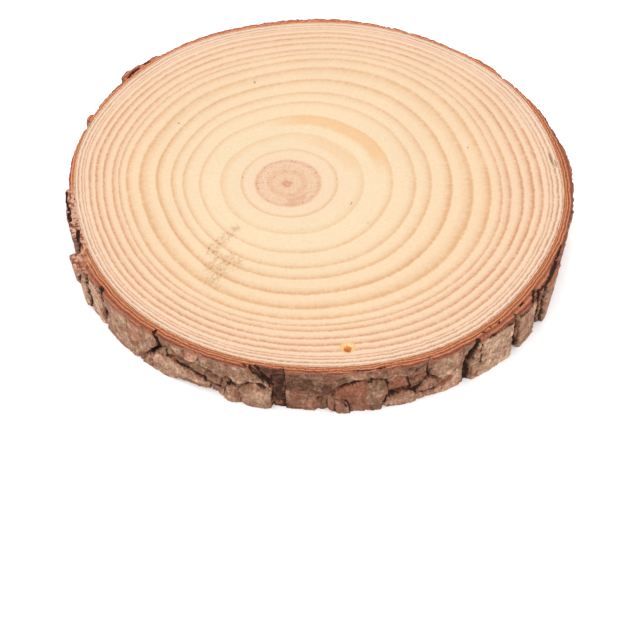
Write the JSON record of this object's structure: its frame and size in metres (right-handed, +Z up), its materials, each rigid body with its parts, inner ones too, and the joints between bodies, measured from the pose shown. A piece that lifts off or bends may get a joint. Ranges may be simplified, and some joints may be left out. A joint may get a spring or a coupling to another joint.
{
  "type": "wood slice",
  "caption": "Round slice of a pine log with sawn flat faces, growth rings, rough bark round its edge and a small drilled hole near the edge.",
  "frame": {"origin": "middle of the slice's box, on its flat underside", "axes": "+Z up through the slice, square to its sawn faces; -Y towards the drilled hole"},
  "size_m": [0.1641, 0.1681, 0.0176],
  "materials": {
    "wood": "sawn and sanded pine end grain, matt, with pale early wood and orange-tan late wood rings",
    "bark": "rough pine bark, grey-tan plates over red-brown layers with dark fissures"
  },
  "bodies": {
    "root": {"wood_slice": "wood"}
  },
  "joints": []
}
